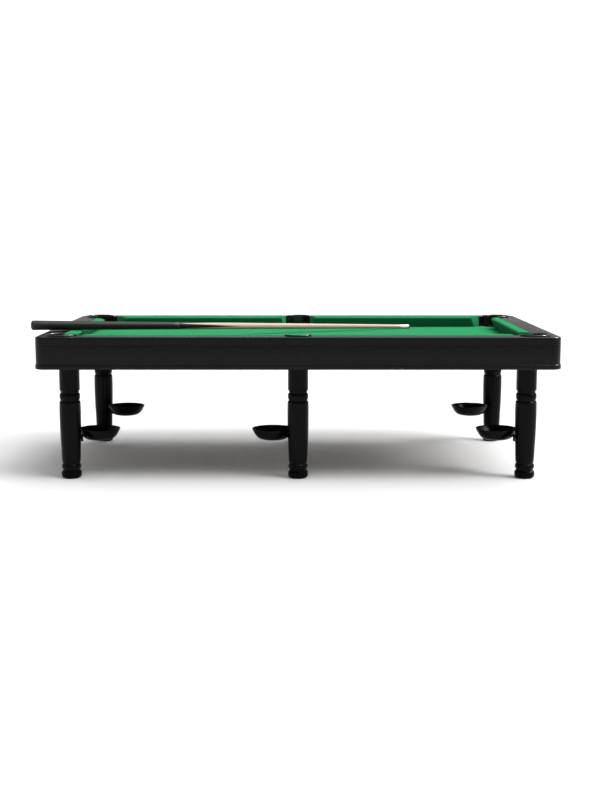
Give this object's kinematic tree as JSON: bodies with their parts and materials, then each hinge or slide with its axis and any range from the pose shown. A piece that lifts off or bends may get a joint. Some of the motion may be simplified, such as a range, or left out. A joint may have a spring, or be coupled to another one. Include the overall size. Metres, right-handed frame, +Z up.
{
  "type": "pool table",
  "caption": "Six-legged black pool table with green cloth, drop pockets, dishes that swing beside the legs and a cue lying on it.",
  "frame": {"origin": "the floor under the middle of the whole footprint, the cue's overhang included; the table's own centre is 46 mm along +X", "axes": "+X along the table to the right, +Y to the rear long side, +Z up"},
  "size_m": [3.02, 1.658, 0.8916],
  "materials": {
    "cabinet_lacquer": "satin",
    "rail_lacquer": "satin",
    "leg_lacquer": "satin",
    "cushion_cloth": "matte",
    "bed_cloth": "matte",
    "slate": "matte",
    "frame_timber": "matte",
    "pocket_plastic": "gloss",
    "dish_plastic": "gloss",
    "bracket_steel": "satin",
    "foot_rubber": "matte",
    "cue_stain": "satin",
    "cue_maple": "gloss",
    "cue_ferrule": "gloss"
  },
  "bodies": {
    "table": {"front_apron": "cabinet_lacquer", "rear_apron": "cabinet_lacquer", "left_apron": "cabinet_lacquer", "right_apron": "cabinet_lacquer", "front_left_corner_apron": "cabinet_lacquer", "front_right_corner_apron": "cabinet_lacquer", "rear_left_corner_apron": "cabinet_lacquer", "rear_right_corner_apron": "cabinet_lacquer", "front_left_rail_cap": "rail_lacquer", "front_right_rail_cap": "rail_lacquer", "rear_left_rail_cap": "rail_lacquer", "rear_right_rail_cap": "rail_lacquer", "left_rail_cap": "rail_lacquer", "right_rail_cap": "rail_lacquer", "front_left_cushion": "cushion_cloth", "front_right_cushion": "cushion_cloth", "rear_left_cushion": "cushion_cloth", "rear_right_cushion": "cushion_cloth", "left_cushion": "cushion_cloth", "right_cushion": "cushion_cloth", "left_slate": "slate", "middle_slate": "slate", "right_slate": "slate", "bed_cloth": "bed_cloth", "front_frame_beam": "frame_timber", "rear_frame_beam": "frame_timber", "left_cross_beam": "frame_timber", "middle_cross_beam": "frame_timber", "right_cross_beam": "frame_timber", "front_left_pocket": "pocket_plastic", "front_right_pocket": "pocket_plastic", "front_middle_pocket": "pocket_plastic", "rear_left_pocket": "pocket_plastic", "rear_right_pocket": "pocket_plastic", "rear_middle_pocket": "pocket_plastic", "front_left_leg": "leg_lacquer", "front_middle_leg": "leg_lacquer", "front_right_leg": "leg_lacquer", "rear_left_leg": "leg_lacquer", "rear_middle_leg": "leg_lacquer", "rear_right_leg": "leg_lacquer", "front_left_dish_bracket": "bracket_steel", "front_middle_dish_bracket": "bracket_steel", "front_right_dish_bracket": "bracket_steel", "rear_left_dish_bracket": "bracket_steel", "rear_right_dish_bracket": "bracket_steel"},
    "front_left_foot": {"front_left_foot": "foot_rubber"},
    "front_middle_foot": {"front_middle_foot": "foot_rubber"},
    "front_right_foot": {"front_right_foot": "foot_rubber"},
    "rear_left_foot": {"rear_left_foot": "foot_rubber"},
    "rear_middle_foot": {"rear_middle_foot": "foot_rubber"},
    "rear_right_foot": {"rear_right_foot": "foot_rubber"},
    "front_left_dish": {"front_left_dish": "dish_plastic"},
    "front_middle_dish": {"front_middle_dish": "dish_plastic"},
    "front_right_dish": {"front_right_dish": "dish_plastic"},
    "rear_left_dish": {"rear_left_dish": "dish_plastic"},
    "rear_right_dish": {"rear_right_dish": "dish_plastic"},
    "cue": {"cue_butt": "cue_stain", "cue_shaft": "cue_maple", "cue_ferrule": "cue_ferrule"}
  },
  "joints": [
    {"name": "front_left_foot_screw", "type": "slide", "parent": "table", "child": "front_left_foot", "axis": [0, 0, -1], "range_m": [0, 0.02]},
    {"name": "front_middle_foot_screw", "type": "slide", "parent": "table", "child": "front_middle_foot", "axis": [0, 0, -1], "range_m": [0, 0.02]},
    {"name": "front_right_foot_screw", "type": "slide", "parent": "table", "child": "front_right_foot", "axis": [0, 0, -1], "range_m": [0, 0.02]},
    {"name": "rear_left_foot_screw", "type": "slide", "parent": "table", "child": "rear_left_foot", "axis": [0, 0, -1], "range_m": [0, 0.02]},
    {"name": "rear_middle_foot_screw", "type": "slide", "parent": "table", "child": "rear_middle_foot", "axis": [0, 0, -1], "range_m": [0, 0.02]},
    {"name": "rear_right_foot_screw", "type": "slide", "parent": "table", "child": "rear_right_foot", "axis": [0, 0, -1], "range_m": [0, 0.02]},
    {"name": "front_left_dish_swivel", "type": "hinge", "parent": "table", "child": "front_left_dish", "pos_m": [-1.20825, -0.54537, 0.22], "axis": [0, 0, 1], "range_deg": [0, 60]},
    {"name": "front_middle_dish_swivel", "type": "hinge", "parent": "table", "child": "front_middle_dish", "pos_m": [-0.00275, -0.54537, 0.22], "axis": [0, 0, -1], "range_deg": [0, 60]},
    {"name": "front_right_dish_swivel", "type": "hinge", "parent": "table", "child": "front_right_dish", "pos_m": [1.30025, -0.54537, 0.22], "axis": [0, 0, -1], "range_deg": [0, 60]},
    {"name": "rear_left_dish_swivel", "type": "hinge", "parent": "table", "child": "rear_left_dish", "pos_m": [-1.17593, 0.58944, 0.204], "axis": [0, 0, 1], "range_deg": [0, 50]},
    {"name": "rear_right_dish_swivel", "type": "hinge", "parent": "table", "child": "rear_right_dish", "pos_m": [1.26793, 0.58944, 0.204], "axis": [0, 0, -1], "range_deg": [0, 50]},
    {"name": "cue_lift", "type": "slide", "parent": "table", "child": "cue", "axis": [0, 0, 1], "range_m": [0, 0.2]}
  ]
}
